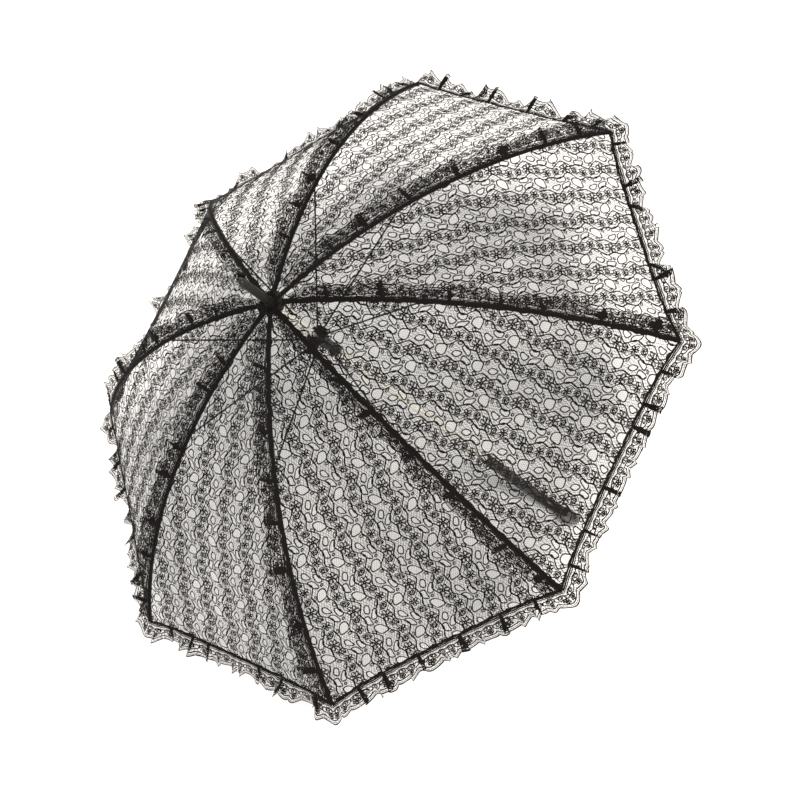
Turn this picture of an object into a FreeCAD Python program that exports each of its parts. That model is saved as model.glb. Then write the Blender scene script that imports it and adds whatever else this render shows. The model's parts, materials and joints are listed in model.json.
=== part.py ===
import FreeCAD, Part
import math
import os

from FreeCAD import Vector

# An eight-rib lace parasol, stored open, with a crook handle. Millimetres, +Z up along the shaft.
# The origin is the middle of the straight hand grip. The crown, where the ribs hinge, is CROWN_Z above it.
# +X is the side to which the crook bends. Ribs are numbered clockwise as seen from above.

# ---- driving dimensions ----
RIB_COUNT = 8
FIRST_RIB_AZIMUTH = 77.0      # degrees, rib 1 seen from above, from +X
CROWN_Z = 536.0               # height of the rib hinges above the grip

TIP_RADIUS = 401.0            # rib tips, from the shaft's axis
CANOPY_DEPTH = 222.0          # rib tips below the rib hinges
RIB_RISE = 44.0               # how far a rib bows out from its own chord
HINGE_RADIUS = 10.0           # ring that the ribs and the stretchers hinge on
RIB_WIRE = 2.4                # diameters of the sprung steel wires
STRETCHER_WIRE = 2.0
PIVOT_RADIUS = 175.0          # stretcher pivot on the rib, from the shaft's axis
RIB_SPLIT = 0.46              # share of the rib's length where its stiff root length ends

SHAFT_RADIUS = 4.0
SHAFT_BORE = 3.4
SHAFT_TOP = 24.0              # above the rib hinges, inside the ferrule
SHAFT_BOTTOM = -526.0         # below them, inside the handle

HANDLE_TOP = -481.0
HANDLE_RADIUS = 7.0
CROOK_START = -592.0
CROOK_RADIUS = 39.0           # centre line of the crook
CROOK_RETURN = 15.0           # straight end of the crook, going back up

FERRULE_TIP = 66.0
FERRULE_RADIUS = 5.0
FERRULE_COLLAR = 6.2          # radius of the collar inside the rosette
FERRULE_TAPER = 54.0          # the plain round stretch that a stand or a clip can hold ends here

LACE_THICKNESS = 1.0
LACE_CLEARANCE = 3.0          # lace above the centre line of the rib wire
HEM_FRILL = 22.0              # width of the gathered edging on the hem
SEAM_FRILL = 20.0             # width of the gathered strip sewn along each rib
FRILL_THICKNESS = 4.0
SEAM_FRILL_SIDE = {1: 1, 2: 1, 3: -1, 4: -1, 5: -1, 6: -1, 7: 1, 8: 1}   # 1 lies on the left of its rib

# ---- values worked out from them ----
RIB_ANGLE = 360.0 / RIB_COUNT
HALF_GORE = RIB_ANGLE / 2
AIR = 0.3                     # room between parts that move past each other
SEAM_GAP = 0.25
THROUGH = 20.0                # half the length of a tool that cuts a hole right through
Y_AXIS = Vector(0, 1, 0)
Z_AXIS = Vector(0, 0, 1)

os.makedirs("parts", exist_ok=True)


class Bow:
    """A circular arc in the XZ plane, from one point to another, bowed out from its chord by a given rise."""

    def __init__(self, start, end, rise):
        chord = math.dist(start, end)
        self.radius = (chord * chord / 4 + rise * rise) / (2 * rise)
        out = ((start[1] - end[1]) / chord, (end[0] - start[0]) / chord)
        back = rise - self.radius
        self.x = (start[0] + end[0]) / 2 + out[0] * back
        self.z = (start[1] + end[1]) / 2 + out[1] * back
        self.first = math.atan2(start[1] - self.z, start[0] - self.x)
        self.turn = self.first - math.atan2(end[1] - self.z, end[0] - self.x)
        self.length = self.radius * self.turn

    def angle(self, share):
        return self.first - share * self.turn

    def point(self, share, above=0.0):
        a = self.angle(share)
        return Vector(self.x + (self.radius + above) * math.cos(a), 0, self.z + (self.radius + above) * math.sin(a))

    def tangent(self, share):
        a = self.angle(share)
        return Vector(math.sin(a), 0, -math.cos(a))

    def share_at_radius(self, distance):
        """Share of the length at which the arc is this far from the shaft."""
        a = math.acos((distance - self.x) / self.radius)
        return (self.first - a) / self.turn

    def wire(self, first, last, radius):
        """A round wire along the arc between two shares of its length."""
        disc = Part.Face(Part.Wire(Part.Circle(self.point(first), self.tangent(first), radius).toShape()))
        centre = Vector(self.x, 0, self.z)
        return disc.revolve(centre, Y_AXIS, math.degrees((last - first) * self.turn))

    def strip(self, first, last, low, high):
        """A flat face in the XZ plane that follows the arc, between two heights above it."""
        middle = (first + last) / 2
        inner = Part.Arc(self.point(first, low), self.point(middle, low), self.point(last, low)).toShape()
        outer = Part.Arc(self.point(first, high), self.point(middle, high), self.point(last, high)).toShape()
        ends = [
            Part.makeLine(self.point(last, low), self.point(last, high)),
            Part.makeLine(self.point(first, high), self.point(first, low)),
        ]
        return Part.Face(Part.Wire(Part.__sortEdges__([inner, ends[0], outer, ends[1]])))


rib = Bow((HINGE_RADIUS, 0.0), (TIP_RADIUS, -CANOPY_DEPTH), RIB_RISE)
PIVOT_SHARE = rib.share_at_radius(PIVOT_RADIUS)
pivot = rib.point(PIVOT_SHARE)
RUNNER_Z = 2 * pivot.z        # the rib's root length and the stretcher make a triangle with two equal sides

# The middle line of a gore lies straight across between the two ribs, so it is the rib's arc drawn in
# towards the shaft by the cosine of half the angle between the ribs.
draw_in = math.cos(math.radians(HALF_GORE))
gore_start = (HINGE_RADIUS * draw_in, 0.0)
gore_end = (TIP_RADIUS * draw_in, -CANOPY_DEPTH)
rib_top = rib.point(0.5)
gore_chord = math.dist(gore_start, gore_end)
gore_rise = (
    (rib_top.x * draw_in - gore_start[0]) * CANOPY_DEPTH
    + (rib_top.z - gore_start[1]) * (gore_end[0] - gore_start[0])
) / gore_chord
gore = Bow(gore_start, gore_end, gore_rise)


def rib_azimuth(number):
    return FIRST_RIB_AZIMUTH - RIB_ANGLE * (number - 1)


def turned(shape, azimuth):
    copy = shape.copy()
    copy.rotate(Vector(0, 0, 0), Z_AXIS, azimuth)
    return copy


def save(node, *solids):
    """Move the piece from the crown's frame to the grip's frame and write it."""
    moved = []
    for solid in solids:
        copy = solid.copy()
        copy.translate(Vector(0, 0, CROWN_Z))
        moved.append(copy)
    shape = moved[0] if len(moved) == 1 else Part.makeCompound(moved)
    shape.exportStep("parts/%s.step" % node)


def rod(radius, low, high, at=Vector(0, 0, 0)):
    return Part.makeCylinder(radius, high - low, Vector(at.x, at.y, low), Z_AXIS)


def cross_rod(radius, centre, low, high):
    """A round bar along Y, between two values of Y."""
    return Part.makeCylinder(radius, high - low, Vector(centre.x, low, centre.z), Y_AXIS)


def slotted_ring(outer, low, high, floor, width, sideways):
    """A ring with one radial slot for each rib, cut from the outside in as far as the floor radius."""
    ring = rod(outer, low, high)
    for number in range(1, RIB_COUNT + 1):
        slot = Part.makeBox(outer, width, high - low + 2, Vector(floor, sideways - width / 2, low - 1))
        ring = ring.cut(turned(slot, rib_azimuth(number)))
    return ring


# ---- shaft tube: plated steel, with a slot for each spring catch ----
CATCH_AZIMUTH = rib_azimuth(1) - HALF_GORE
CATCH_WIDTH = 2.0
CATCH_LENGTH = 15.0
CATCH_REACH = 6.2             # how far the catch's nose stands from the shaft's axis
CATCH_INSIDE = 1.8            # its inner face, inside the tube
CATCH_NOSE = 2.0              # height of the square end of the nose
RUNNER_GALLERY = 3.5          # half the height of the runner's slotted ring
RUNNER_SLEEVE = 36.0
leg = math.hypot(PIVOT_RADIUS - HINGE_RADIUS, pivot.z)
CLOSED_PIVOT_RADIUS = 16.0    # the stretcher pivot comes this close to the shaft's axis when folded
CLOSED_RUNNER_Z = -2 * math.sqrt(leg ** 2 - (CLOSED_PIVOT_RADIUS - HINGE_RADIUS) ** 2)
TOP_CATCH_Z = RUNNER_Z - RUNNER_GALLERY - RUNNER_SLEEVE - AIR
BOTTOM_CATCH_Z = CLOSED_RUNNER_Z + RUNNER_GALLERY + AIR

PIN_RADIUS = 0.75
NOTCH_PIN_Z = -2.4
HANDLE_PIN_Z = HANDLE_TOP - 14.0


def catch_slot(nose_z, towards):
    """The window in the tube for a catch whose nose is at nose_z and whose slope runs up (1) or down (-1)."""
    low = nose_z - AIR if towards > 0 else nose_z - CATCH_LENGTH - AIR
    window = Part.makeBox(
        SHAFT_RADIUS + 1, CATCH_WIDTH + 2 * AIR, CATCH_LENGTH + 2 * AIR, Vector(0, -CATCH_WIDTH / 2 - AIR, low)
    )
    return turned(window, CATCH_AZIMUTH)


def catch(nose_z, towards):
    """A bent steel leaf: a square nose that stops the runner and a slope that the runner slides over."""
    tail = nose_z + towards * CATCH_LENGTH
    outline = [
        Vector(CATCH_INSIDE, -CATCH_WIDTH / 2, nose_z),
        Vector(CATCH_REACH, -CATCH_WIDTH / 2, nose_z),
        Vector(CATCH_REACH, -CATCH_WIDTH / 2, nose_z + towards * CATCH_NOSE),
        Vector(SHAFT_RADIUS - 0.1, -CATCH_WIDTH / 2, tail),
        Vector(CATCH_INSIDE, -CATCH_WIDTH / 2, tail),
    ]
    leaf = Part.Face(Part.makePolygon(outline + [outline[0]]))
    return turned(leaf.extrude(Vector(0, CATCH_WIDTH, 0)), CATCH_AZIMUTH)


def pin_along_catch(radius, z, half_length):
    bar = Part.makeCylinder(radius, 2 * half_length, Vector(-half_length, 0, z), Vector(1, 0, 0))
    return turned(bar, CATCH_AZIMUTH)


shaft = rod(SHAFT_RADIUS, SHAFT_BOTTOM, SHAFT_TOP).cut(rod(SHAFT_BORE, SHAFT_BOTTOM - 1, SHAFT_TOP + 1))
shaft = shaft.cut(catch_slot(TOP_CATCH_Z, -1)).cut(catch_slot(BOTTOM_CATCH_Z, 1))
shaft = shaft.cut(pin_along_catch(PIN_RADIUS, NOTCH_PIN_Z, THROUGH))
shaft = shaft.cut(pin_along_catch(PIN_RADIUS, HANDLE_PIN_Z, THROUGH))
save("shaft_tube", shaft)
save("top_catch", catch(TOP_CATCH_Z, -1))
save("bottom_catch", catch(BOTTOM_CATCH_Z, 1))

# ---- top notch: the slotted disc that the rib eyes hinge in, its ring of wire and its pin ----
NOTCH_RADIUS = 13.5
NOTCH_LOW = -4.2
NOTCH_HIGH = 0.9
SLOT_FLOOR = 7.4
EYE_THICKNESS = 2.8
SLOT_WIDTH = EYE_THICKNESS + 2 * AIR
RING_WIRE = 0.6
notch = slotted_ring(NOTCH_RADIUS, NOTCH_LOW, NOTCH_HIGH, SLOT_FLOOR, SLOT_WIDTH, 0.0)
notch = notch.cut(rod(SHAFT_RADIUS, NOTCH_LOW - 1, NOTCH_HIGH + 1))
notch = notch.cut(Part.makeTorus(HINGE_RADIUS, RING_WIRE + 0.05))
notch = notch.cut(pin_along_catch(PIN_RADIUS, NOTCH_PIN_Z, THROUGH))
save("top_notch", notch)
save("notch_wire", Part.makeTorus(HINGE_RADIUS, RING_WIRE))
save("notch_pin", pin_along_catch(PIN_RADIUS, NOTCH_PIN_Z, SLOT_FLOOR - 0.2))

# ---- crown: a cap that clamps the lace, a gathered rosette over it, and the ferrule that holds both ----
CAP_RADIUS = 15.0
CAP_LOW = 4.5
CAP_HIGH = 5.7
CAP_COLLAR = 5.2              # radius of the neck that stands on the notch
ROSETTE_RADIUS = 15.5
ROSETTE_TOP_RADIUS = 10.5
ROSETTE_HIGH = 10.5
cap = rod(CAP_RADIUS, CAP_LOW, CAP_HIGH).cut(rod(SHAFT_RADIUS, CAP_LOW - 1, CAP_HIGH + 1))
cap = cap.fuse(rod(CAP_COLLAR, NOTCH_HIGH, CAP_LOW))
cap = cap.cut(rod(SHAFT_RADIUS, NOTCH_HIGH - 1, CAP_HIGH + 1)).removeSplitter()
save("crown_cap", cap)

rosette = Part.makeCone(
    ROSETTE_RADIUS, ROSETTE_TOP_RADIUS, ROSETTE_HIGH - CAP_HIGH, Vector(0, 0, CAP_HIGH), Z_AXIS
)
rosette = rosette.cut(rod(FERRULE_COLLAR, CAP_HIGH - 1, ROSETTE_HIGH + 1))
save("crown_rosette", rosette)

FERRULE_NOSE = 4.4
ferrule = rod(FERRULE_COLLAR, CAP_HIGH, ROSETTE_HIGH).fuse(rod(FERRULE_RADIUS, ROSETTE_HIGH, FERRULE_TAPER))
nose = Part.makeCone(
    FERRULE_RADIUS, FERRULE_NOSE, FERRULE_TIP - FERRULE_NOSE - FERRULE_TAPER, Vector(0, 0, FERRULE_TAPER), Z_AXIS
)
ball = Part.makeSphere(FERRULE_NOSE, Vector(0, 0, FERRULE_TIP - FERRULE_NOSE))
ferrule = ferrule.fuse(nose).fuse(ball).removeSplitter()
ferrule = ferrule.cut(rod(SHAFT_RADIUS, CAP_HIGH - 1, SHAFT_TOP))
save("ferrule", ferrule)

# ---- runner: a sleeve that slides on the shaft, with a slotted ring for the stretchers ----
RUNNER_BORE = SHAFT_RADIUS + 0.08
SLEEVE_RADIUS = 6.3
FLANGE_RADIUS = 7.4
FLANGE_HEIGHT = 5.0
STRETCHER_SIDE = 2.5          # the stretcher lies this far beside the middle of its rib
STRETCHER_EYE = 1.6
STRETCHER_EYE_THICKNESS = 1.6
runner_low = RUNNER_Z - RUNNER_GALLERY - RUNNER_SLEEVE
runner_high = RUNNER_Z + RUNNER_GALLERY
gallery = slotted_ring(
    NOTCH_RADIUS, RUNNER_Z - RUNNER_GALLERY, runner_high, SLOT_FLOOR + 0.5, SLOT_WIDTH, STRETCHER_SIDE
)
runner = gallery.fuse(rod(SLEEVE_RADIUS, runner_low, runner_high))
runner = runner.fuse(rod(FLANGE_RADIUS, runner_low, runner_low + FLANGE_HEIGHT))
runner = runner.cut(rod(RUNNER_BORE, runner_low - 1, runner_high + 1)).removeSplitter()
save("runner", runner)

# ---- crook handle: one moulding, pushed on to the tube and pinned ----
grip = rod(HANDLE_RADIUS, CROOK_START, HANDLE_TOP)
crook_centre = Vector(CROOK_RADIUS, 0, CROOK_START)
section = Part.Face(Part.Wire(Part.Circle(Vector(0, 0, CROOK_START), Z_AXIS, HANDLE_RADIUS).toShape()))
crook = section.revolve(crook_centre, Y_AXIS, -180)
back = rod(HANDLE_RADIUS, CROOK_START, CROOK_START + CROOK_RETURN, Vector(2 * CROOK_RADIUS, 0, 0))
END_ROUNDING = 2.5            # fillets at the crook's end and at the top of the grip
TOP_ROUNDING = 1.2
back = back.makeFillet(END_ROUNDING, [e for e in back.Edges if e.BoundBox.ZMin > CROOK_START + CROOK_RETURN - 0.01])
handle = grip.fuse(crook).fuse(back).removeSplitter()
top_edge = [
    e for e in handle.Edges
    if abs(e.BoundBox.ZMin - HANDLE_TOP) < 0.01 and abs(e.BoundBox.ZMax - HANDLE_TOP) < 0.01
]
handle = handle.makeFillet(TOP_ROUNDING, top_edge)
handle = handle.cut(rod(SHAFT_RADIUS, SHAFT_BOTTOM - 0.5, HANDLE_TOP + 1))
handle = handle.cut(pin_along_catch(PIN_RADIUS, HANDLE_PIN_Z, THROUGH))
save("handle", handle)
save("handle_pin", pin_along_catch(PIN_RADIUS, HANDLE_PIN_Z, HANDLE_RADIUS - 0.05))

# ---- ribs: sprung wire, a flattened eye at the hinge, another at the stretcher, a ball at the tip ----
HINGE_EYE = 2.2
HINGE_HOLE = 0.74
PIVOT_EYE = 2.3
PIVOT_EYE_THICKNESS = 2.4
RIVET = 0.8
RIVET_HEAD = 1.4
RIVET_HEAD_HEIGHT = 0.6
TIP_BALL = 2.4
SPLIT_GAP = 0.6               # between a rib's root length and its bending outer length
split_share = SPLIT_GAP / 2 / rib.length

root = rib.wire(0.0, RIB_SPLIT - split_share, RIB_WIRE / 2)
root = root.fuse(cross_rod(HINGE_EYE, rib.point(0), -EYE_THICKNESS / 2, EYE_THICKNESS / 2))
root = root.fuse(cross_rod(PIVOT_EYE, pivot, -PIVOT_EYE_THICKNESS / 2, PIVOT_EYE_THICKNESS / 2))
hinge_hole_at = rib.point(0) - Vector(0.05, 0, 0)
root = root.cut(cross_rod(HINGE_HOLE, hinge_hole_at, -4, 4))
root = root.cut(cross_rod(RIVET + 0.06, pivot, -4, 4))

tip = rib.wire(RIB_SPLIT + split_share, 1.0, RIB_WIRE / 2).fuse(Part.makeSphere(TIP_BALL, rib.point(1.0)))

# ---- stretchers: wire with an eye and a rivet at the rib, an eye and a cross pin at the runner ----
low_end = Vector(HINGE_RADIUS, 0, RUNNER_Z)
run = pivot - low_end
arm = Part.makeCylinder(STRETCHER_WIRE / 2, run.Length, low_end + Vector(0, STRETCHER_SIDE, 0), run)
eye_low = PIVOT_EYE_THICKNESS / 2 + AIR
eye_high = 2 * STRETCHER_SIDE - eye_low
outer_eye = cross_rod(STRETCHER_EYE, pivot, eye_low, eye_high)
half_eye = STRETCHER_EYE_THICKNESS / 2
inner_eye = cross_rod(STRETCHER_EYE, low_end, STRETCHER_SIDE - half_eye, STRETCHER_SIDE + half_eye)
cross_pin = cross_rod(RING_WIRE, low_end, STRETCHER_SIDE - EYE_THICKNESS / 2, STRETCHER_SIDE + EYE_THICKNESS / 2)
arm = arm.fuse(outer_eye).fuse(inner_eye).fuse(cross_pin)
arm = arm.cut(cross_rod(RIVET, pivot, eye_low - 1, eye_high + 1))
head_low = -PIVOT_EYE_THICKNESS / 2 - AIR
rivet = cross_rod(RIVET, pivot, head_low, eye_high)
rivet = rivet.fuse(cross_rod(RIVET_HEAD, pivot, head_low - RIVET_HEAD_HEIGHT, head_low))
rivet = rivet.fuse(cross_rod(RIVET_HEAD, pivot, eye_high, eye_high + RIVET_HEAD_HEIGHT)).removeSplitter()

# ---- lace: sixteen half gores with their piece of hem frill, and a frill along each rib ----
LACE_START = (7.0 - HINGE_RADIUS) / rib.length    # the lace runs in past the hinges, under the crown cap
HEM_SHARE = HEM_FRILL / gore.length
REACH = 640.0
lace_low = LACE_CLEARANCE
lace_high = LACE_CLEARANCE + LACE_THICKNESS
HEM_STEP = 0.2                # the hem frill's underside above the lace's
SEAM_START = 20.0             # the seam frill starts this far from the shaft's axis
SEAM_INSET = 0.6              # from the rib's plane to the frill sewn beside it
SEAM_END = 0.985              # share of the gore's length where it ends, short of the tip ball


def between_planes(points):
    """A tall prism over a flat outline given in the gore's own frame, where +X is the middle of the gore."""
    corners = [Vector(x, y, -CANOPY_DEPTH - 60) for x, y in points]
    return Part.Face(Part.makePolygon(corners + [corners[0]])).extrude(Vector(0, 0, CANOPY_DEPTH + 90))


def rib_line(side, inset, distance):
    """A point beside the rib's plane, inset towards the middle of the gore, at a distance from the shaft."""
    a = math.radians(HALF_GORE)
    along = (math.cos(a) * distance, side * math.sin(a) * distance)
    return (along[0] + math.sin(a) * inset, along[1] - side * math.cos(a) * inset)


def cloth(first, last, low, high, outline):
    strip = gore.strip(first, last, low, high)
    strip.translate(Vector(0, -REACH / 2, 0))
    return strip.extrude(Vector(0, REACH, 0)).common(between_planes(outline)).Solids[0]


def half_outline(side):
    """The outline of the half of a gore next to the rib on its own +Y (1) or -Y (-1) side."""
    inner = SEAM_GAP / math.sin(math.radians(HALF_GORE)) + SEAM_GAP
    return [
        (inner, side * SEAM_GAP / 2),
        (REACH, side * SEAM_GAP / 2),
        rib_line(side, SEAM_GAP, REACH),
        rib_line(side, SEAM_GAP, inner),
    ]


def half_gore(side):
    """The half of a gore on that side, and its piece of the hem frill."""
    outline = half_outline(side)
    lace = cloth(LACE_START, 1.0, lace_low, lace_high, outline)
    frill = cloth(1.0, 1.0 + HEM_SHARE, lace_low + HEM_STEP, lace_low + HEM_STEP + FRILL_THICKNESS, outline)
    return lace, frill


def seam_frill(side):
    """The gathered strip that lies on the lace beside the rib. Near the crown it keeps to its half of the gore."""
    outline = [
        rib_line(side, SEAM_INSET, SEAM_START),
        rib_line(side, SEAM_INSET, REACH),
        rib_line(side, SEAM_INSET + SEAM_FRILL, REACH),
        rib_line(side, SEAM_INSET + SEAM_FRILL, SEAM_START),
    ]
    strip = cloth(0.0, SEAM_END, lace_high + AIR, lace_high + AIR + FRILL_THICKNESS, outline)
    return strip.common(between_planes(half_outline(side))).Solids[0]


for number in range(1, RIB_COUNT + 1):
    azimuth = rib_azimuth(number)
    save("rib_%d_root" % number, turned(root, azimuth))
    save("rib_%d_tip" % number, turned(tip, azimuth))
    save("stretcher_%d" % number, turned(arm, azimuth), turned(rivet, azimuth))
    for name, left in (("left", 1), ("right", -1)):
        lace, frill = half_gore(-left)
        middle = azimuth + left * HALF_GORE
        save("lace_%d_%s" % (number, name), turned(lace, middle), turned(frill, middle))
    left = SEAM_FRILL_SIDE[number]
    save("rib_frill_%d" % number, turned(seam_frill(-left), azimuth + left * HALF_GORE))
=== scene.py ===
import json
import math

import bpy
import numpy as np
from mathutils import Matrix, Vector


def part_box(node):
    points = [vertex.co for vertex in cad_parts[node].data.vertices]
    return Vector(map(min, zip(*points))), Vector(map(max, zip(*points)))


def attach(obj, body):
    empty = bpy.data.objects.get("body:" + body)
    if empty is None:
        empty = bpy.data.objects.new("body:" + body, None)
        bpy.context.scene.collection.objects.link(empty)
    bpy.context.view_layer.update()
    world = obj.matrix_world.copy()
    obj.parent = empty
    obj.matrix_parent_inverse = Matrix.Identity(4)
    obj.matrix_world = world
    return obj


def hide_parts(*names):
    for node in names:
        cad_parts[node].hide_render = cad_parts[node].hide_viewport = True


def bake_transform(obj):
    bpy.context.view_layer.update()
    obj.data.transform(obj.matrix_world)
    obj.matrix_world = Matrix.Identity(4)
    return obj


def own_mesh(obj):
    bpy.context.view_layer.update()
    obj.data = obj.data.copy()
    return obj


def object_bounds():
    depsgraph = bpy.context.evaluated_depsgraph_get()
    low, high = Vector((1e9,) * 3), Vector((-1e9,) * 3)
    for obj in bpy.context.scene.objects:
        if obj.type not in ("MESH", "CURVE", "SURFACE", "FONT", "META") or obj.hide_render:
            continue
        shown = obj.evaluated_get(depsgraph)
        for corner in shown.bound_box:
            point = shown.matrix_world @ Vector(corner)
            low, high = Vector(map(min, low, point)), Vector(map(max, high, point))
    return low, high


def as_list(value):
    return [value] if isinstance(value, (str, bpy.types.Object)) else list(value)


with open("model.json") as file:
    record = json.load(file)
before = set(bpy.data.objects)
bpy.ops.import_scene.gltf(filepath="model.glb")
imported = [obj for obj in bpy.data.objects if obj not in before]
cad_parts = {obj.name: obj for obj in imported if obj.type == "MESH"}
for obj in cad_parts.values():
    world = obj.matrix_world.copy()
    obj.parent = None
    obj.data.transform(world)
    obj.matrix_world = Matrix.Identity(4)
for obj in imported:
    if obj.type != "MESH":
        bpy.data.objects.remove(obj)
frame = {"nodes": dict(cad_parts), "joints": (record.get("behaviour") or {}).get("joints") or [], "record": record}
cad_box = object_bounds()
nodes = frame["nodes"]
mm = 0.001

# ---- Shaft tube, pins, notch wire and spring catches ----
# The shaft is a thin drawn steel tube, nickel plated bright. Its two catches are bent steel leaves that stand
# out of windows in the tube, and small steel pins hold the top notch and the handle on it.


def linear(code):
    """An sRGB hex colour as linear RGBA."""
    parts = [int(code[i:i + 2], 16) / 255 for i in (1, 3, 5)]
    return [c / 12.92 if c <= 0.04045 else ((c + 0.055) / 1.055) ** 2.4 for c in parts] + [1.0]


def add(tree, kind, inputs=None, **settings):
    """Add a node, set its settings, and link or set its inputs."""
    node = tree.nodes.new(kind)
    for name, value in settings.items():
        setattr(node, name, value)
    for socket, value in (inputs or {}).items():
        if isinstance(value, bpy.types.NodeSocket):
            tree.links.new(value, node.inputs[socket])
        else:
            node.inputs[socket].default_value = value
    return node


def start_material(name, **sockets):
    """A new material with its tree and its Principled shader, whose plain sockets are given by name."""
    material = bpy.data.materials.new(name)
    material.use_nodes = True
    shader = material.node_tree.nodes["Principled BSDF"]
    for socket, value in sockets.items():
        shader.inputs[socket.replace("_", " ")].default_value = value
    return material, material.node_tree, shader


def mottle(tree, shader, grain, dark, light, smooth, rough, bump, stretch=(1, 1, 1)):
    """Vary colour, roughness and height with one noise, whose grain is a real size in metres."""
    relief_strength = 0.4
    place = add(tree, "ShaderNodeTexCoord")
    scale = add(tree, "ShaderNodeMapping", {"Vector": place.outputs["Object"], "Scale": stretch})
    noise = add(tree, "ShaderNodeTexNoise", {"Vector": scale.outputs[0], "Scale": 1 / grain, "Detail": 3.0})
    ramp = add(tree, "ShaderNodeValToRGB", {"Fac": noise.outputs["Fac"]})
    ramp.color_ramp.elements[0].position = 0.3
    ramp.color_ramp.elements[0].color = linear(dark)
    ramp.color_ramp.elements[1].position = 0.7
    ramp.color_ramp.elements[1].color = linear(light)
    tree.links.new(ramp.outputs[0], shader.inputs["Base Color"])
    gloss = add(
        tree, "ShaderNodeMapRange", {"Value": noise.outputs["Fac"], "To Min": smooth, "To Max": rough}
    )
    tree.links.new(gloss.outputs[0], shader.inputs["Roughness"])
    relief = add(
        tree, "ShaderNodeBump",
        {"Height": noise.outputs["Fac"], "Strength": relief_strength, "Distance": bump},
    )
    tree.links.new(relief.outputs[0], shader.inputs["Normal"])


# Nickel plate over a drawn tube: a bright, slightly yellow mirror with faint marks along the drawing.
nickel, tree, shader = start_material("nickel_plated_drawn_steel", Metallic=1.0)
mottle(tree, shader, 0.7 * mm, "#b9b7b0", "#dad8d2", 0.16, 0.34, 0.02 * mm, stretch=(1, 1, 0.06))


def give(names, material):
    """Give the material to the CAD meshes of these nodes."""
    for name in names:
        for held in nodes[name].material_slots:
            held.material = material


give(["shaft_tube", "notch_wire", "notch_pin", "handle_pin", "top_catch", "bottom_catch"], nickel)

# ---- Crook handle ----
# One hollow moulding in black ABS, bent into a crook and pushed on to the tube. It left a polished mould, so
# it shines softly, with the shallow waviness and hand wear of cheap plastic.
abs_black, tree, shader = start_material("moulded_black_abs", Coat_Weight=0.12, Coat_Roughness=0.25)
mottle(tree, shader, 2.2 * mm, "#141413", "#201f1d", 0.26, 0.42, 0.05 * mm)
give(["handle"], abs_black)

# ---- Ferrule and crown cap ----
# The ferrule is a moulded rod with a rounded end, in the same plastic with an olive cast, rubbed duller by
# stands and floors. The cap under it clamps the middle of the lace.
ferrule_plastic, tree, shader = start_material("rubbed_olive_black_plastic", Specular_IOR_Level=0.3)
mottle(tree, shader, 1.2 * mm, "#12130f", "#1f201b", 0.3, 0.55, 0.06 * mm, stretch=(1, 1, 0.4))
give(["ferrule", "crown_cap"], ferrule_plastic)

# ---- Top notch and runner ----
# Both are black nylon mouldings with a slot for each wire. Nylon off the tool is satin, with a fine even
# grain, and the runner is polished a little by the fingers that push it.
nylon, tree, shader = start_material("moulded_black_nylon", Specular_IOR_Level=0.35)
mottle(tree, shader, 0.5 * mm, "#101010", "#1c1c1b", 0.38, 0.55, 0.04 * mm)
give(["top_notch", "runner"], nylon)

# ---- Ribs and stretchers ----
# Each rib is one sprung steel wire, stove-lacquered black: flattened into an eye at the notch and at the
# stretcher's rivet, with a ball at the tip. The cloth bows it. The real wire springs nearly straight when folded;
# here it keeps its bow.

# Stove lacquer on wire: a thin, even black film that glints along the top of each wire.
lacquer, tree, shader = start_material("black_stoved_lacquer_on_wire", Specular_IOR_Level=0.35)
mottle(tree, shader, 0.9 * mm, "#0c0c0d", "#191817", 0.25, 0.42, 0.03 * mm)
ribs = range(1, 9)
give(["stretcher_%d" % n for n in ribs], lacquer)

joint_at = {j["name"]: Vector(j["pos_m"]) for j in frame["joints"] if "pos_m" in j}
rib_azimuth = {n: math.atan2(joint_at["rib_%d_fold" % n].y, joint_at["rib_%d_fold" % n].x) for n in ribs}
crown_z = joint_at["rib_1_fold"].z
hinge_radius = math.hypot(joint_at["rib_1_fold"].x, joint_at["rib_1_fold"].y)
pivot_radius = math.hypot(joint_at["stretcher_1_pivot"].x, joint_at["stretcher_1_pivot"].y)
tip_radius = 401 * mm
canopy_depth = 222 * mm
rib_rise = 44 * mm
rib_wire = 1.2 * mm           # radius of the lacquered wire

# Each rib is bowed as an arc of a circle, from its hinge to its tip.
chord = math.hypot(tip_radius - hinge_radius, canopy_depth)
bow_radius = (chord ** 2 / 4 + rib_rise ** 2) / (2 * rib_rise)
bow_out = (canopy_depth / chord, (tip_radius - hinge_radius) / chord)
bow_x = (hinge_radius + tip_radius) / 2 + bow_out[0] * (rib_rise - bow_radius)
bow_z = -canopy_depth / 2 + bow_out[1] * (rib_rise - bow_radius)
bow_first = math.atan2(-bow_z, hinge_radius - bow_x)
bow_turn = bow_first - math.atan2(-canopy_depth - bow_z, tip_radius - bow_x)
rib_length = bow_radius * bow_turn


def rib_line(share):
    """Radius and height of the rib's centre line at shares of its length, below the rib hinges."""
    angle = bow_first - np.asarray(share) * bow_turn
    return bow_x + bow_radius * np.cos(angle), bow_z + bow_radius * np.sin(angle)


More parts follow.
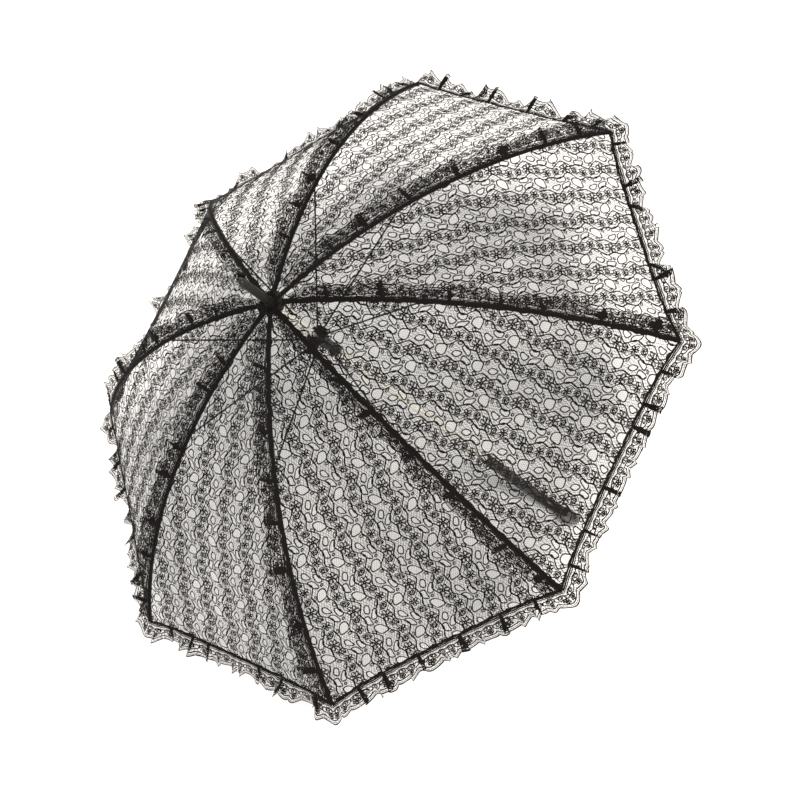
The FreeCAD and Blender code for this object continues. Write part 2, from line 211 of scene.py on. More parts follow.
def mesh_of(name, points, faces, material, cloth=None):
    """A mesh object from points and four-cornered faces, with cloth coordinates if there are any."""
    mesh = bpy.data.meshes.new(name)
    points = np.ascontiguousarray(points, np.float32)
    faces = np.ascontiguousarray(faces, np.int32)
    mesh.vertices.add(len(points))
    mesh.vertices.foreach_set("co", points.ravel())
    mesh.loops.add(faces.size)
    mesh.loops.foreach_set("vertex_index", faces.ravel())
    mesh.polygons.add(len(faces))
    mesh.polygons.foreach_set("loop_start", np.arange(0, faces.size, 4, dtype=np.int32))
    mesh.update(calc_edges=True)
    if cloth is not None:
        layer = mesh.uv_layers.new(name="cloth")
        layer.data.foreach_set("uv", np.asarray(cloth, np.float32)[faces.ravel()].ravel())
    mesh.polygons.foreach_set("use_smooth", np.ones(len(faces), bool))
    mesh.materials.append(material)
    thing = bpy.data.objects.new(name, mesh)
    bpy.context.scene.collection.objects.link(thing)
    return thing


def grid_faces(rows, columns, closed=False):
    """Four-cornered faces of a grid of points, numbered row by row. A closed grid joins its last column."""
    steps_across = columns if closed else columns - 1
    r, c = np.meshgrid(np.arange(rows - 1), np.arange(steps_across), indexing="ij")
    after = (c + 1) % columns
    corners = [r * columns + c, r * columns + after, (r + 1) * columns + after, (r + 1) * columns + c]
    return np.stack([k.ravel() for k in corners], 1)


def turned(points, azimuth):
    """Points turned about the shaft's axis and raised from the crown's height to the part's frame."""
    c, s = math.cos(azimuth), math.sin(azimuth)
    x, y, z = np.moveaxis(np.asarray(points, float), -1, 0)
    return np.stack([c * x - s * y, s * x + c * y, z + crown_z], -1)


def swell(share, middle, reach):
    """1 at the middle, falling smoothly to 0 at the reach."""
    return np.exp(-((share - middle) * rib_length / reach) ** 2)


pivot_share = (bow_first - math.acos((pivot_radius - bow_x) / bow_radius)) / bow_turn
eye_reach = 2.4 * mm          # how far each flattened eye reaches along the wire
eye_back = 2.2 * mm           # how far the notch's eye reaches behind its pivot
notch_eye = 1.0 * mm          # how much taller than the wire each eye is
rivet_eye = 1.8 * mm
eye_spread = 0.2 * mm
ball = 2.4 * mm               # radius of the ball on the tip
along = np.unique(np.concatenate([
    np.linspace(-eye_back / rib_length, 8 * mm / rib_length, 14),
    np.linspace(0, 1, 70),
    pivot_share + np.linspace(-8, 8, 17) * mm / rib_length,
    1 + ball / rib_length * np.sin(np.linspace(-math.pi / 2, math.pi / 2, 13)),
]))
tall = rib_wire + notch_eye * swell(along, 0, eye_reach) + rivet_eye * swell(along, pivot_share, eye_reach)
wide = rib_wire + eye_spread * swell(along, 0, eye_reach)
from_tip = (along - 1) * rib_length / ball
round_tip = ball * np.sqrt(np.clip(1 - from_tip ** 2, 0, 1))
tall, wide = [np.where(from_tip > 0, round_tip, np.maximum(side, round_tip)) for side in (tall, wide)]
from_eye = (along * rib_length + eye_back) / eye_back
round_eye = np.sqrt(np.clip(1 - (1 - np.clip(from_eye, 0, 1)) ** 2, 0, 1))
tall, wide = tall * round_eye, wide * round_eye

sides = 10                    # of the wire's round section
x, z = rib_line(along)
angle = bow_first - along * bow_turn
turn = np.arange(sides) * 2 * math.pi / sides
above = tall[:, None] * np.cos(turn)
rib_points = np.stack([
    x[:, None] + above * np.cos(angle)[:, None],
    wide[:, None] * np.sin(turn),
    z[:, None] + above * np.sin(angle)[:, None],
], -1).reshape(-1, 3)
rib_faces = grid_faces(len(along), sides, closed=True)

split_share = 0.46            # the wire bends most about here
bend_half = 0.09              # and over this share of its length each way
for n in ribs:
    wire = mesh_of("rib_%d_wire" % n, turned(rib_points, rib_azimuth[n]), rib_faces, lacquer)
    ends = []
    for share in (split_share - bend_half, split_share + bend_half):
        r, h = rib_line(share)
        ends.append(tuple(turned([r, 0, h], rib_azimuth[n])))
    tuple(ends[0])
    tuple(ends[1])
    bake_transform(wire)
    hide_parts("rib_%d_root" % n, "rib_%d_tip" % n)

# ---- Lace canopy: the net ground of each half gore ----
# Eight gores of warp-knitted polyester lace, cut as long triangles and sewn together along the ribs. The
# ground is a fine diamond net. Each gore is one curved sheet, stretched straight across between its two ribs.
half_gore = math.radians(22.5)
lace_above = 2.0 * mm         # the lace lies on top of the wires
slack = 4 * mm                # how far the middle of a gore hangs below a straight line from rib to rib
hem_dip = 0.018               # the hem curves in between the tips by this share of the gore's length

shares = np.linspace(-0.02, 1.1, 400)
rib_r, rib_z = rib_line(shares)
middle_x = rib_r * math.cos(half_gore)
steps = np.hypot(np.diff(middle_x), np.diff(rib_z))
run = np.concatenate([[0], np.cumsum(steps)])
run = run - np.interp(0, shares, run)
slope_x, slope_z = np.gradient(middle_x, run), np.gradient(rib_z, run)
half_width = rib_r * math.sin(half_gore)
gore_length = float(np.interp(1, shares, run))
lace_start = -3 * mm          # the gores run on past the rib hinges, under the cap


def on_gore(u, v, lift=0.0):
    """A point of the cloth in the gore's own frame. u runs across from the gore's middle line, v down it."""
    share = np.interp(v, run, shares)
    w = np.interp(v, run, half_width)
    sag = slack * (1 - np.clip(u / w, -1, 1) ** 2) * np.sin(math.pi * np.clip(share, 0, 1))
    out = lace_above + lift - sag
    dx, dz = np.interp(v, run, slope_x), np.interp(v, run, slope_z)
    flat_x = np.interp(v, run, middle_x)
    x = flat_x - dz * out
    z = np.interp(v, run, rib_z) + dx * out
    return np.stack(np.broadcast_arrays(x, u * x / np.maximum(flat_x, 1 * mm), z), -1)


def hem_at(across):
    """Where the hem lies down the gore, at a share of the way from the middle line to the rib."""
    return gore_length * (1 - hem_dip * (1 - np.abs(across) ** 4))


# Tulle: black polyester net, far finer than its motifs, so the eye sees a grey veil.
# The real net has 1.2 mm holes. It is drawn at 2.1 mm so that it shows.
tulle, tree, shader = start_material("black_polyester_tulle_net", Roughness=0.7, Specular_IOR_Level=0.1)
shader.inputs["Base Color"].default_value = linear("#0f0d0c")
net_pitch = 2.1 * mm
net_thread = 0.16 * mm
net_lean = math.radians(32)
cloth_place = add(tree, "ShaderNodeUVMap", uv_map="cloth")
threads_here = []
for lean in (-1, 1):
    direction = (math.cos(net_lean), lean * math.sin(net_lean), 0)
    along_it = add(
        tree, "ShaderNodeVectorMath", {0: cloth_place.outputs[0], 1: direction}, operation="DOT_PRODUCT"
    )
    off_thread = add(
        tree, "ShaderNodeMath", {0: along_it.outputs["Value"], 1: net_pitch / 2}, operation="PINGPONG"
    )
    thread = add(tree, "ShaderNodeMath", {0: off_thread.outputs[0], 1: net_thread / 2}, operation="LESS_THAN")
    threads_here.append(thread.outputs[0])
net = add(tree, "ShaderNodeMath", {0: threads_here[0], 1: threads_here[1]}, operation="MAXIMUM")
tree.links.new(net.outputs[0], shader.inputs["Alpha"])

halves = [(n, name, left) for n in ribs for name, left in (("left", 1), ("right", -1))]
rows, columns = 110, 26       # of the ground's mesh, down and across


def fold_flat(piece, n, name):
    """The piece moves with its half gore, on a mesh of its own."""
    left = 1 if name == "left" else -1
    hinge = np.array([hinge_radius, 0, 0])
    tip = np.array([tip_radius, 0, -canopy_depth])
    wide_middle = tip_radius * math.cos(half_gore)
    middle_y = left * wide_middle * math.sin(half_gore)
    middle = np.array([wide_middle * math.cos(half_gore), middle_y, -canopy_depth])
    normal = np.cross(tip - hinge, middle - hinge) * left
    base = turned([hinge, hinge + normal / np.linalg.norm(normal)], rib_azimuth[n])
    body = "lace_%d_%s" % (n, name)
    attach(piece, body)
    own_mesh(piece)


def place_half(points, n, left):
    """From the gore's own frame to the part's frame, for the half gore on one side of a rib."""
    return turned(points, rib_azimuth[n] + left * half_gore)


grounds = {}
for n, name, left in halves:
    across, down = np.meshgrid(np.linspace(0, 1, columns), np.linspace(0, 1, rows))
    v = lace_start + down * (hem_at(across) - lace_start)
    u = -left * across * np.interp(v, run, half_width)
    points = place_half(on_gore(u, v), n, left).reshape(-1, 3)
    cloth = np.stack([u.ravel(), v.ravel()], 1)
    ground = mesh_of("lace_%d_%s_ground" % (n, name), points, grid_faces(rows, columns), tulle, cloth)
    fold_flat(ground, n, name)
    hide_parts("lace_%d_%s" % (n, name))
    grounds[n, name] = ground

# ---- Lace canopy: the thread work on the net ----
# Heavier threads are knitted into the net: wavy stems down each gore, with leaves, five-petalled flowers and
# round openings between them, each edged with a raised cord. They are real threads, lying on the net.

# Spun polyester yarn: deep warm black, matt with a soft sheen, a little browner where the light catches it.
yarn, tree, shader = start_material("black_spun_polyester_yarn", Specular_IOR_Level=0.08, Sheen_Weight=0.02)
mottle(tree, shader, 1.5 * mm, "#070606", "#161312", 0.55, 0.8, 0.1 * mm)


def strips(lines):
    """Flat or ridged bands along lines of (points, width, height).

    Gives points as distances across, down and up, and faces."""
    all_points, all_faces, count = [], [], 0
    for line, width, height in lines:
        line = np.asarray(line, float)
        along = np.gradient(line, axis=0)
        along /= np.maximum(np.linalg.norm(along, axis=1, keepdims=True), 1e-9)
        beside = np.stack([-along[:, 1], along[:, 0]], 1) * width / 2
        rails = [(line - beside, 0), (line + beside, 0)]
        if height:
            rails = [(line - beside, 0), (line, height), (line + beside, 0)]
        points = np.stack([np.column_stack([rail, np.full(len(line), up)]) for rail, up in rails], 1)
        all_points.append(points.reshape(-1, 3))
        all_faces.append(grid_faces(len(line), len(rails)) + count)
        count += len(line) * len(rails)
    return np.concatenate(all_points), np.concatenate(all_faces)


repeat_u = 37 * mm            # one repeat of the pattern, across and down the gore
repeat_v = 45 * mm
half_u, half_v = repeat_u / mm / 2, repeat_v / mm / 2
cord = 1.45 * mm              # raised cord round each motif
fine = 0.5 * mm               # thread that fills it
relief = 0.35 * mm            # how far a raised cord stands up
outline = 1.05 * mm           # width of the cord round a leaf
petal_outline = 1.1 * mm
mesh_thread = 0.32 * mm       # the larger diamond mesh between the motifs


def slanted(points, tilt, at):
    """Points turned by an angle in degrees and moved to a place, all in millimetres, as metres."""
    c, s = math.cos(math.radians(tilt)), math.sin(math.radians(tilt))
    points = np.asarray(points, float)
    return (np.stack([c * points[:, 0] - s * points[:, 1], s * points[:, 0] + c * points[:, 1]], 1) + at) * mm


def leaf(foot, tilt, length, width):
    """A pointed leaf with short slanting veins, sizes in millimetres."""
    t = np.linspace(0, 1, 7)
    bulge = width / 2 * np.sin(math.pi * t ** 0.8)
    lines = []
    for side in (-1, 1):
        lines.append((slanted(np.stack([t * length, side * bulge], 1), tilt, foot), outline, relief))
    for step in (0.3, 0.62):
        half = width / 2 * math.sin(math.pi * step ** 0.8)
        at = step * length
        lines.append((slanted([(at - 0.8, -half), (at + 0.5, 0), (at - 0.8, half)], tilt, foot), fine, 0))
    return lines


def flower(centre, size, tilt, petals=6):
    """Round petals, each filled with threads and a small eyelet, round an eye. Sizes are in millimetres."""
    lines = [(ring(centre, 0.17 * size, 0.17 * size, count=8), cord, relief)]
    for petal in range(petals):
        out = tilt + petal * 360 / petals
        at = slanted([(0.62 * size, 0)], out, centre)[0] / mm
        lines.append((ring(at, 0.38 * size, 0.3 * size, count=11, tilt=out), petal_outline, relief))
        for step in (-0.2, 0.2):
            filling = [(0.3 * size, step * size * 0.6), (0.88 * size, step * size)]
            lines.append((slanted(filling, out, centre), fine, 0))
    return lines


def ring(centre, radius_u, radius_v, count=12, tilt=0.0):
    """An oval, slightly out of round, with its radii in millimetres."""
    a = np.radians(np.linspace(0.0, 360.0, count + 1))
    uneven = 1 + 0.07 * np.sin(3 * a + centre[0]) + 0.05 * np.sin(4 * a + centre[1])
    return slanted(np.stack([radius_u * uneven * np.cos(a), radius_v * uneven * np.sin(a)], 1), tilt, centre)


def net_lines(openings):
    """The larger diamond mesh of the ground, left out of the openings."""
    lines = []
    columns, rows = 10, 16
    wide, deep = repeat_u / mm / columns, repeat_v / mm / rows
    for column in range(columns):
        for row in range(rows):
            u0, v0 = (column + 0.5 * (row % 2)) * wide - half_u, row * deep - half_v
            for step in (-0.5, 0.5):
                u1, v1 = u0 + step * wide, v0 + deep
                if all(math.dist(((u0 + u1) / 2, (v0 + v1) / 2), at) > clear for at, clear in openings):
                    lines.append((slanted([(u0, v0), (u1, v1)], 0, (0, 0)), mesh_thread, 0))
    return lines


def pattern():
    """One repeat of the thread work: a light band of openings, with a dense band of flowers beside it.

    Places and sizes are in millimetres from the middle of the repeat."""
    holes = [((0.4, 11.2), 6.6, 6.2, 0), ((-4.6, -3.4), 6.2, 3.6, 66), ((5.0, -7.4), 6.0, 3.6, 108),
             ((-3.2, -15.8), 4.8, 3.6, 84), ((18.8, 11.4), 2.9, 2.5, 0), ((18.2, -10.6), 2.9, 2.5, 0)]
    lines = []
    for at, across, down, tilt in holes:
        lines.append((ring(at, across, down, count=18, tilt=tilt), cord, relief))
    for side in (-1, 1):
        v = np.linspace(-half_v, half_v, 31)
        bend = 2 * math.pi * v / half_v
        for base, sway, waves, late, width in ((9.8, 2.8, 1, 0.6, 1.6), (13.2, 1.7, 2, 1.9, 0.9)):
            stem = np.stack([side * (base + sway * np.sin(waves * bend + late * side)), v], 1)
            lines.append((slanted(stem, 0, (0, 0)), width * mm, relief))
    lines += flower((18.5, 0.6), 7.2, 12)
    lines += flower((18.2, 21.9), 5.4, 40, petals=5)
    for foot, tilt, length, width in (
        ((14.2, 8.4), 70, 8.0, 4.4), ((22.6, 7.8), 108, 7.4, 4.2), ((21.8, -8.6), 250, 7.6, 4.2),
        ((14.6, -8.0), 288, 8.2, 4.4), ((1.6, 2.4), 330, 4.6, 2.6),
        ((-7.6, 8.6), 110, 6.4, 3.6), ((8.4, -14.6), 290, 6.4, 3.6), ((3.6, 19.4), 10, 5.4, 3.2),
    ):
        lines += leaf(foot, tilt, length, width)
    lines += net_lines([((0.4, 11.2), 7.2), ((-4.6, -3.4), 4.6), ((5.0, -7.4), 4.6), ((-3.2, -15.8), 4.4)])
    return strips(lines)


tile_points, tile_faces = pattern()
thread_lift = 0.15 * mm       # the threads lie this far above the net


def gore_of(n, left):
    """The gore to the right of rib n has its number, and the one to the left the number before."""
    return n if left < 0 else (n - 2) % 8 + 1


def laid_out(seed, reach_u, reach_v):
    """Every repeat of the pattern over a gore, slightly uneven, as points and faces in cloth coordinates."""
    rng = np.random.default_rng(seed)
    start = rng.uniform(0, 1, 2) * (repeat_u, repeat_v)
    columns = np.arange(-math.ceil(reach_u / repeat_u) - 1, math.ceil(reach_u / repeat_u) + 2)
    rows = np.arange(-1, math.ceil(reach_v / repeat_v) + 2)
    c, r = [k.ravel() for k in np.meshgrid(columns, rows)]
    places = np.stack([c * repeat_u + start[0] - repeat_u / 2, (r + 0.5 * (c % 2)) * repeat_v - start[1]], 1)
    points = tile_points[None].repeat(len(places), 0)
    points[:, :, :2] += places[:, None]
    faces = tile_faces[None] + (np.arange(len(places)) * len(tile_points))[:, None, None]
    points, faces = points.reshape(-1, 3), faces.reshape(-1, 4)
    weave, sway = 3.4 * mm, 1.8 * mm
    points[:, 0] += weave * np.sin(2 * math.pi * points[:, 1] / repeat_v + seed)
    points[:, 0] += sway * np.sin(points[:, 1] / (37 * mm) + seed)
    points[:, 1] += sway * np.sin(points[:, 0] / (29 * mm) + 2 * seed)
    return points, faces


def trimmed(points, faces, keep):
    """Only the faces to keep, and only the points that they use."""
    faces = faces[keep]
    used, renumbered = np.unique(faces, return_inverse=True)
    return points[used], renumbered.reshape(faces.shape)


widest = float(np.interp(gore_length, run, half_width))
for n, name, left in halves:
    points, faces = laid_out(gore_of(n, left), widest, gore_length)
    centre = points[faces].mean(1)
    across = -left * centre[:, 0] / np.interp(centre[:, 1], run, half_width)
    inside = (across > 0) & (across < 1) & (centre[:, 1] > lace_start) & (centre[:, 1] < hem_at(across))
    points, faces = trimmed(points, faces, inside)
    u = -left * np.maximum(-left * points[:, 0], 0)
    world = place_half(on_gore(u, points[:, 1], thread_lift + points[:, 2]), n, left)
    threads = mesh_of("lace_%d_%s_threads" % (n, name), world, faces, yarn)
    fold_flat(threads, n, name)

# ---- Seam and hem bindings ----
# Along each rib the two gores are sewn together with the gathered heading of a frill, which makes a thick
# dark ridge, and the hem is turned over a cord. Both are several layers thick, so no light comes through.

# Gathered tape: the blackest of the cloths, matt, with a fine crumple from its stitches.
gathers, tree, shader = start_material("gathered_black_seam_tape", Specular_IOR_Level=0.08, Sheen_Weight=0.02)
mottle(tree, shader, 0.8 * mm, "#050404", "#110e0d", 0.6, 0.85, 0.2 * mm)


mesh_step = 1.1 * mm          # length of one face along a band or a frill
band_points = 6
stitch = 0.75 * mm


def band(edge, first, last, width, height, ripple, seed):
    """A narrow padded band along a line of the cloth, rippled by its stitches."""
    count = int((last - first) / mesh_step)
    s = np.linspace(first, last, count)
    rng = np.random.default_rng(seed)
    uneven = 1 + 0.2 * np.sin(s / (4.1 * mm) + rng.uniform(0, 6))
    uneven += 0.12 * np.sin(s / (1.9 * mm) + rng.uniform(0, 6))
    profile = np.linspace(0, 1, band_points)
    c = profile[None] * (width * uneven)[:, None]
    rounded = height * np.cos(math.pi / 2 * profile ** 1.5)
    up = rounded[None] * (1 + ripple * np.sin(s / stitch))[:, None]
    points = edge(np.repeat(s[:, None], band_points, 1), c, up)
    return points.reshape(-1, 3), grid_faces(count, band_points)


def seam_edge(left):
    """Places points by their distance along the rib, in from the rib, and up off the cloth."""

    def place(s, c, up):
        w = np.interp(s, run, half_width)
        return on_gore(-left * (w + 0.1 * mm - np.minimum(c, w)), s, thread_lift + up)

    return place


def hem_edge(left):
    """The same along the hem, from the middle line out to the rib, and up the gore from the hem."""

    def place(s, c, up):
        return on_gore(-left * s, hem_at(s / widest) - c + 1.2 * mm, thread_lift + up)

    return place


# The gathered strip on each rib falls to one side, the side of the body that carries its node.
frill_side = {}
for n in ribs:
    for name in ("left", "right"):
        if "rib_frill_%d" % n in frame["record"]["behaviour"]["bodies"]["lace_%d_%s" % (n, name)]:
            frill_side[n] = name

seam_under_frill = 4.8 * mm   # width of the ridge on each side of the rib
seam_plain = 2.6 * mm
for n, name, left in halves:
    broad = seam_under_frill if frill_side[n] == name else seam_plain
    seam = band(seam_edge(left), 4 * mm, gore_length, broad, 1.5 * mm, 0.3, n * 2 + left)
    hem = band(hem_edge(left), 0, widest - 0.4 * mm, 2.7 * mm, 1.0 * mm, 0.2, n * 2 + left)
    points = np.concatenate([seam[0], hem[0]])
    faces = np.concatenate([seam[1], hem[1] + len(seam[0])])
    binding = mesh_of("lace_%d_%s_binding" % (n, name), place_half(points, n, left), faces, gathers)
    fold_flat(binding, n, name)

for (n, name), ground in grounds.items():
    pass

# ---- Gathered frills on the hem and along the ribs ----
# Edging lace, woven with a scalloped edge and wavy corded lines, is gathered a little and sewn on by its
# heading. Every few centimetres a tuck doubles it back on itself, and shows as a dark bar or tuft.
scallop = 13 * mm             # length of one scallop of the edging
frill_width = 20.6 * mm       # from the heading to the tips of the scallops


def frill_edge(s):
    """How far the scalloped edge is from the heading."""
    return 17.8 * mm + 2.8 * mm * np.abs(np.sin(math.pi * s / scallop)) ** 0.8


def frill_pattern():
    """One scallop of the edging: along it is s, and c runs from the heading to the scalloped edge."""
    s = np.linspace(0, scallop, 15)
    turn = 2 * math.pi * s / scallop
    lines = [(np.stack([s, frill_edge(s) - 0.6 * mm], 1), 1.3 * mm, relief),
             (np.stack([s, frill_edge(s) - 2.3 * mm], 1), 0.5 * mm, 0),
             (np.stack([s, frill_edge(s) - 4.3 * mm], 1), 1.2 * mm, relief)]
    for c, sway, late, width in (
        (0.4, 0, 0, 1.4), (2.1, 0.1, 0, 1.5), (3.7, 0.2, 1, 1.0), (6.4, 0.8, 2.0, 1.0), (10.4, 1.0, 0.4, 1.1)
    ):
        lines.append((np.stack([s, (c + sway * np.sin(turn + late)) * mm], 1), width * mm, relief))
    for start in (0.0, 3.25, 6.5, 9.75):
        for low, high in ((3.0, 6.0), (6.0, 10.6), (10.6, 14.6)):
            zig = [(start, low), (start + 1.62, high), (start + 3.25, low)]
            lines.append((slanted(zig, 0, (0, 0)), 0.48 * mm, 0))
    lines += leaf((1.6, 9.6), -40, 5.2, 2.8)
    lines += leaf((11.4, 9.6), 220, 5.2, 2.8)
    lines += flower((6.5, 12.6), 2.9, 20, petals=5)
    return strips(lines)


def wander(rng, longest):
    """A smooth line that wanders between about -1 and 1."""
    parts = [(rng.uniform(0, 6.3), longest / k, 1 / k) for k in (1, 1.7, 2.9)]
    return lambda s: sum(
        size * np.sin(2 * math.pi * s / length + phase) for phase, length, size in parts
    ) / 1.6


tuck = 5 * mm                 # half the width of one tuck
tuck_rise = 2.6 * mm
bar_length = 15 * mm          # length of the dark bar that a tuck makes across the hem's frill


def gathered(edge, knots, rng, width, fold, height, tilt, flop, settle, lie=False):
    """Shapes a frill along an edge. edge(s) gives a point there, and the ways along, out and up.

    width(s) scales its width. settle(s) is 0 where it has to meet the next piece and 1 elsewhere."""
    ways = [wander(rng, 90 * mm) for _ in range(3)]
    doubling = 2.4            # how hard a tuck pulls the cloth back on itself
    swing = 0.12              # how far a wave moves sideways, as a share of its length

    def place(s, c, lift=0.0):
        knot = np.zeros_like(s)
        slid = s.copy()
        for at in knots:
            near = np.exp(-((s - at) / tuck) ** 2)
            knot += near
            slid -= doubling * (s - at) * near
        point, along, out, up = edge(slid)
        free = settle(s)
        share = np.maximum(c, 0) / frill_width
        reach = c * width(slid) * (1 + free * (0.12 * ways[0](s) - 0.2 * knot))
        phase = 2 * math.pi * s / fold + 1.6 * ways[1](s)
        wave = 0.5 + 0.5 * np.sin(phase) if lie else np.sin(phase)
        angle = tilt + flop * free * ways[2](s)
        rise = free * (height * share ** 1.15 * wave + tuck_rise * knot * (0.35 + share)) + lift
        sideways = swing * fold * share * free * np.cos(phase)
        far, high = reach * np.cos(angle), reach * np.sin(angle) + rise
        return point + along * sideways[..., None] + out * far[..., None] + up * high[..., None]

    return place


frill_points, frill_faces = frill_pattern()


def frill_mesh(place, first, last):
    """The net and the thread work of a frill between two distances along its edge."""
    count, across = int((last - first) / mesh_step) + 1, 9
    s, part = np.meshgrid(np.linspace(first, last, count), np.linspace(0, 1, across), indexing="ij")
    c = part * frill_edge(s)
    net_points = place(s.ravel(), c.ravel())
    cloth = np.stack([s.ravel(), c.ravel()], 1)
    units = np.arange(math.floor(first / scallop), math.ceil(last / scallop))
    points = frill_points[None].repeat(len(units), 0)
    points[:, :, 0] += (units * scallop)[:, None]
    faces = (frill_faces[None] + (np.arange(len(units)) * len(frill_points))[:, None, None]).reshape(-1, 4)
    points = points.reshape(-1, 3)
    centre = points[faces].mean(1)
    points, faces = trimmed(points, faces, (centre[:, 0] > first) & (centre[:, 0] < last))
    thread_points = place(np.clip(points[:, 0], first, last), points[:, 1], thread_lift + points[:, 2])
    return (net_points, grid_faces(count, across), cloth), (thread_points, faces)


def tufts(place, knots, rng, reach, length):
    """The crumpled cloth of each tuck, a dark bar across the frill, as points and faces."""
    all_points, all_faces = [], []
    across, down = np.meshgrid(np.linspace(-1, 1, 13), np.linspace(0, 1, 12), indexing="ij")
    for number, at in enumerate(knots):
        narrow = 0.55 + 0.45 * np.sin(math.pi * down) + rng.uniform(-0.16, 0.16, across.shape)
        s = at + across * reach * narrow * rng.uniform(0.6, 1.15)
        c = 0.4 * mm + down * length * rng.uniform(0.45, 1.05) + rng.uniform(-0.6, 0.6, across.shape) * mm
        crumple = rng.uniform(0, 1.5, across.shape) * mm + 0.5 * mm
        all_points.append(place(s.ravel(), c.ravel(), crumple.ravel()))
        all_faces.append(grid_faces(13, 12) + number * across.size)
    return np.concatenate(all_points), np.concatenate(all_faces)


def frill_pieces(label, place, knots, rng, first, last, tuft_reach, tuft_length, put):
    """The net, the threads and the tucks of one length of frill."""
    net_part, thread_part = frill_mesh(place, first, last)
    made = [mesh_of(label + "_net", put(net_part[0]), net_part[1], tulle, net_part[2]),
            mesh_of(label + "_threads", put(thread_part[0]), thread_part[1], yarn)]
    if len(knots):
        points, faces = tufts(place, knots, rng, tuft_reach, tuft_length)
        made.append(mesh_of(label + "_tucks", put(points), faces, gathers))
    return made


def smooth(t):
    """0 below 0 and 1 above 1, with an easy curve between."""
    t = np.clip(t, 0, 1)
    return t * t * (3 - 2 * t)


def hem_frill_edge(left):
    """The hem of one half gore. Near the rib the frill fans out, to meet its neighbour at the corner."""
    corner = 34 * mm

    def edge(s):
        s = np.clip(s, 0, widest)
        point = on_gore(-left * s, hem_at(s / widest), 0)
        dx, dz = np.interp(gore_length, run, slope_x), np.interp(gore_length, run, slope_z)
        fan = np.clip((s - widest) / corner + 1, 0, 1) ** 2 * math.tan(half_gore) * 1.05
        out = np.stack([0 * s + dx, -left * fan * dx, 0 * s + dz], -1)
        up = np.stack([0 * s - dz, left * fan * dz, 0 * s + dx], -1)
        along = np.stack([0 * s, 0 * s - left, 0 * s], -1)
        return point, along, out, up

    return edge


def knots_along(rng, first, last, spacing):
    """Where the tucks are, about the spacing apart."""
    count = max(1, round((last - first) / spacing))
    return first + (np.arange(count) + 0.5 + rng.uniform(-0.28, 0.28, count)) * (last - first) / count


hem_fullness = 1.18           # the hem takes a wider edging than the ribs
hem_tucks = 44 * mm           # spacing of its tucks


def hem_settle(s):
    """The waves die away towards the rib, so that the two sides meet."""
    return smooth((widest - s) / (14 * mm))


def hem_place(left, knots, rng):
    place = gathered(
        hem_frill_edge(left), knots, rng, width=lambda s: hem_fullness, fold=22 * mm, height=3.8 * mm,
        tilt=0.35, flop=0.5, settle=hem_settle,
    )

    def meeting(s, c, lift=0.0):
        """Keeps the frill on its own side of the middle line, where the two halves meet."""
        points = place(s, c, lift)
        points[..., 1] = -left * np.maximum(-left * points[..., 1], 0) * (s > 1e-6)
        return points

    return meeting


for n, name, left in halves:
    rng = np.random.default_rng(100 + gore_of(n, left))
    shared = rng.integers(1 << 30)
    knots = knots_along(np.random.default_rng([shared, left + 1]), 12 * mm, widest - 6 * mm, hem_tucks)
    place = hem_place(left, knots, rng)
    made = frill_pieces(
        "hem_frill_%d_%s" % (n, name), place, knots, rng, 0.0, widest, tuck, bar_length,
        lambda points: place_half(points, n, left),
    )
    for piece in made:
        fold_flat(piece, n, name)
    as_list(made[1:])


def seam_frill_edge(left):
    """Beside a rib, on top of the lace, running out towards the middle of the gore."""

    def edge(s):
        w = np.interp(s, run, half_width)
        inset = np.minimum(1.5 * mm, w / 2)
        point = on_gore(-left * (w - inset), s, 0.9 * mm)
        dx, dz = np.interp(s, run, slope_x), np.interp(s, run, slope_z)
        along = np.stack([dx, 0 * dx, dz], -1)
        up = np.stack([-dz, 0 * dx, dx], -1)
        out = np.stack([0 * dx, 0 * dx + left, 0 * dx], -1)
        return point, along, out, up

    return edge


def seam_width(s):
    """A little less than the edging's full width, and less still near the crown, where the gore is narrow."""
    return np.minimum(0.86, 0.85 * np.interp(s, run, half_width) / frill_width)


rib_tucks = 56 * mm           # spacing of the tucks along a rib
for n, name in frill_side.items():
    left = 1 if name == "left" else -1
    rng = np.random.default_rng(200 + n)
    first, last = 12 * mm, gore_length - 2 * mm
    knots = knots_along(rng, first + 20 * mm, last, rib_tucks)
    place = gathered(
        seam_frill_edge(left), knots, rng, width=seam_width, fold=27 * mm, height=4.2 * mm, tilt=0.75,
        flop=0.3, settle=lambda s: smooth((s - first) / (20 * mm)), lie=True,
    )
    made = frill_pieces(
        "rib_frill_%d" % n, place, knots, rng, first, last, 1.5 * tuck, 16 * mm,
        lambda points: place_half(points, n, left),
    )
    for piece in made:
        fold_flat(piece, n, name)
    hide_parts("rib_frill_%d" % n)
    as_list(made[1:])

# ---- Crown rosette ----
# A short length of the same edging is gathered up tight round the ferrule's foot and stitched to the cap. It
# is so bunched that it looks like a small dark tuft.
rosette_foot = 6.4 * mm       # radius of its heading
rosette_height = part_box("crown_rosette")[0].z - crown_z


def rosette_edge(s):
    """The ferrule's foot, with the frill running outwards from it."""
    a = s / rosette_foot
    flat = np.zeros_like(a)
    point = np.stack([rosette_foot * np.cos(a), rosette_foot * np.sin(a), flat + rosette_height], -1)
    out = np.stack([np.cos(a), np.sin(a), flat], -1)
    along = np.stack([-np.sin(a), np.cos(a), flat], -1)
    up = np.stack([flat, flat, flat + 1], -1)
    return point, along, out, up


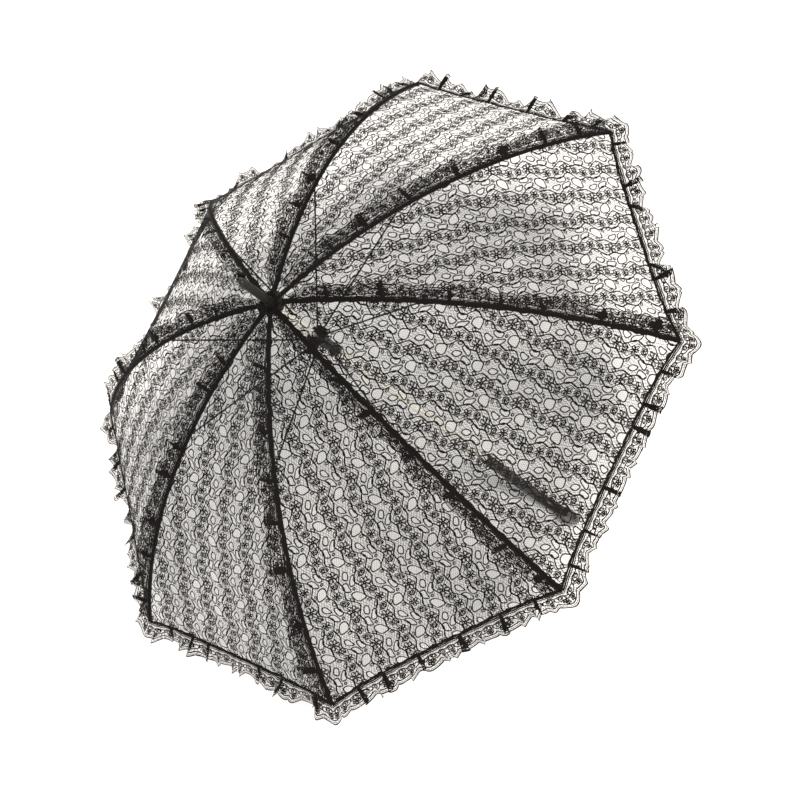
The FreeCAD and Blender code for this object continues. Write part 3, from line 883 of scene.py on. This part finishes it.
circle = 2 * math.pi * rosette_foot
bunches = 6
for layer, (tilt, width) in enumerate(((0.2, 0.54), (0.75, 0.5))):
    rng = np.random.default_rng(300 + layer)
    place = gathered(
        rosette_edge, [], rng, width=lambda s: width, fold=circle / 7, height=2.4 * mm, tilt=tilt, flop=0.2,
        settle=lambda s: np.ones_like(s),
    )
    points, faces = tufts(place, np.arange(bunches) * circle / bunches, rng, 3 * mm, 19 * mm)
    bunch = mesh_of("crown_rosette_%d_bunched" % layer, turned(points, 0), faces, gathers)
    made = frill_pieces(
        "crown_rosette_%d" % layer, place, [], rng, 0.0, circle, 0, 0, lambda points: turned(points, 0)
    ) + [bunch]
    for piece in made:
        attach(piece, "frame")
    if layer == 0:
        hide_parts("crown_rosette")
    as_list(made[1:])

# ---- Floor, lights and camera ----
# A pale matt floor under the crook, lit by a broad white surround, a warm key light high in front and a weak
# soft box behind. The open parasol is seen from above, leaning over to one side.
floor_white, tree, shader = start_material("matt_white_floor", Roughness=0.9)
mottle(tree, shader, 60 * mm, "#f1f1f0", "#f6f6f5", 0.85, 0.95, 0.0)
floor_z = cad_box[0][2] - 0.5 * mm
reach = 30.0                  # metres, so that the floor's edge is far away
corners = [(x * reach, y * reach, floor_z) for x, y in ((-1, -1), (1, -1), (1, 1), (-1, 1))]
floor = mesh_of("floor", corners, [[0, 1, 2, 3]], floor_white)

world = bpy.data.worlds.new("studio")
bpy.context.scene.world = world
world.use_nodes = True
world.node_tree.nodes["Background"].inputs["Color"].default_value = linear("#ffffff")
world.node_tree.nodes["Background"].inputs["Strength"].default_value = 0.4

centre = Vector((0, 0, crown_z - canopy_depth))


def light_from(name, kind, azimuth, elevation, distance, **settings):
    """A light that stands at angles in degrees from the middle of the canopy, and shines at it."""
    a, e = math.radians(azimuth), math.radians(elevation)
    way = Vector((math.cos(a) * math.cos(e), math.sin(a) * math.cos(e), math.sin(e)))
    data = bpy.data.lights.new(name, kind)
    for setting, value in settings.items():
        setattr(data, setting, value)
    lamp = bpy.data.objects.new(name, data)
    facing = way.to_track_quat("Z", "Y").to_matrix().to_4x4()
    lamp.matrix_world = Matrix.Translation(centre + way * distance) @ facing
    bpy.context.scene.collection.objects.link(lamp)


warm = linear("#fff8f1")[:3]
light_from("key", "SUN", 8, 50, 3.0, energy=5.5, angle=math.radians(9), color=warm)
light_from("side_box", "AREA", 150, 28, 2.6, size=1.6, energy=7)

view_azimuth = -3.1           # where the camera stands, round the shaft from +X
view_elevation = 49.7
view_roll = -54.2             # the parasol leans over to the left by this much
view_distance = 3.26
view_middle = (27 * mm, -24 * mm)   # right of and below the middle of the rib tips
a, e = math.radians(view_azimuth), math.radians(view_elevation)
back = Vector((math.cos(a) * math.cos(e), math.sin(a) * math.cos(e), math.sin(e)))
turn = back.to_track_quat("Z", "Y").to_matrix() @ Matrix.Rotation(math.radians(view_roll), 3, "Z")
aim = centre + turn @ Vector((view_middle[0], view_middle[1], 0))
camera_data = bpy.data.cameras.new("camera")
camera_data.lens = 123
camera_data.sensor_width = 36
camera = bpy.data.objects.new("camera", camera_data)
camera.matrix_world = Matrix.Translation(aim + back * view_distance) @ turn.to_4x4()
bpy.context.scene.collection.objects.link(camera)
bpy.context.scene.camera = camera
bpy.context.scene.view_settings.view_transform = "Standard"
